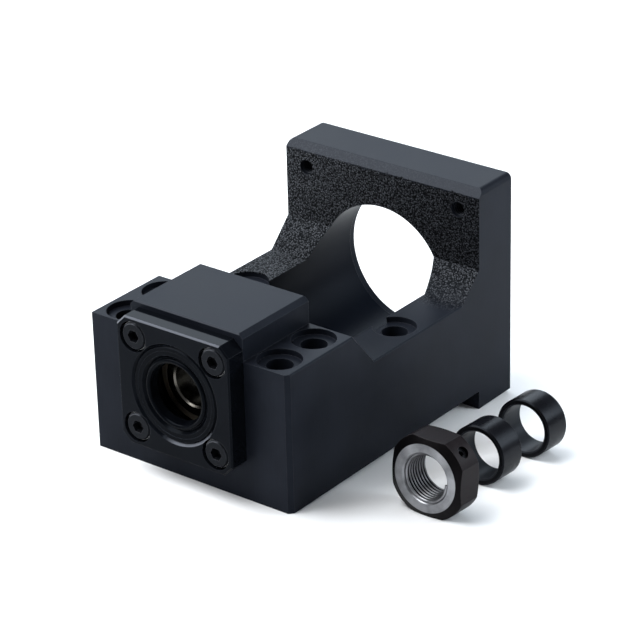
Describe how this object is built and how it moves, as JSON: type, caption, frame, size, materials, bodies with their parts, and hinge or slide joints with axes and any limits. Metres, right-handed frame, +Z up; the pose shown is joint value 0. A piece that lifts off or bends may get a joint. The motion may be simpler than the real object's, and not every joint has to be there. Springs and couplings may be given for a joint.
{
  "type": "stepper motor mount with ball screw bearing block",
  "caption": "Cast bracket that carries a square motor flange on a rear plate and supports a ball screw end in a sealed angular contact bearing block, with its lock nut and collars.",
  "frame": {"origin": "on the base mounting face, at the centre of the bearing block's four base bolts", "axes": "+Z up from the base face, +Y along the screw axis towards the motor, +X across"},
  "size_m": [0.0941, 0.0965, 0.06],
  "materials": {
    "black_iron": "black oxide, satin on machined faces and grainy where cast",
    "black_steel": "black oxide, fine ground",
    "screw_steel": "black oxide, semi-gloss",
    "seal_rubber": "moulded, semi-gloss",
    "bearing_steel": "ground and polished",
    "cage_plastic": "moulded, matt",
    "nut_steel": "black oxide with a bright ground face",
    "pad_brass": "plain"
  },
  "bodies": {
    "bracket": {"bracket_body": "black_iron", "bearing_cover": "black_steel", "cover_screws": "screw_steel", "front_oil_seal": "seal_rubber", "rear_oil_seal": "seal_rubber", "front_bearing_outer_ring": "bearing_steel", "rear_bearing_outer_ring": "bearing_steel", "lock_nut": "nut_steel", "nut_set_screw": "screw_steel", "nut_set_pad": "pad_brass", "front_collar": "black_steel", "rear_collar": "black_steel"},
    "front_inner_ring": {"front_bearing_inner_ring": "bearing_steel"},
    "front_ball_set": {"front_bearing_cage": "cage_plastic", "front_bearing_balls": "bearing_steel"},
    "rear_inner_ring": {"rear_bearing_inner_ring": "bearing_steel"},
    "rear_ball_set": {"rear_bearing_cage": "cage_plastic", "rear_bearing_balls": "bearing_steel"}
  },
  "joints": [
    {"name": "front_inner_ring_spin", "type": "hinge", "parent": "bracket", "child": "front_inner_ring", "pos_m": [0, -0.0065, 0.025], "axis": [0, 1, 0], "continuous": true},
    {"name": "front_ball_set_spin", "type": "hinge", "parent": "bracket", "child": "front_ball_set", "pos_m": [0, -0.0065, 0.025], "axis": [0, 1, 0], "continuous": true},
    {"name": "rear_inner_ring_spin", "type": "hinge", "parent": "bracket", "child": "rear_inner_ring", "pos_m": [0, 0.0016, 0.025], "axis": [0, 1, 0], "continuous": true},
    {"name": "rear_ball_set_spin", "type": "hinge", "parent": "bracket", "child": "rear_ball_set", "pos_m": [0, 0.0016, 0.025], "axis": [0, 1, 0], "continuous": true}
  ],
  "couplings": [
    {"joint": "front_ball_set_spin", "follows": "front_inner_ring_spin", "ratio": 0.397},
    {"joint": "rear_ball_set_spin", "follows": "rear_inner_ring_spin", "ratio": 0.397}
  ]
}
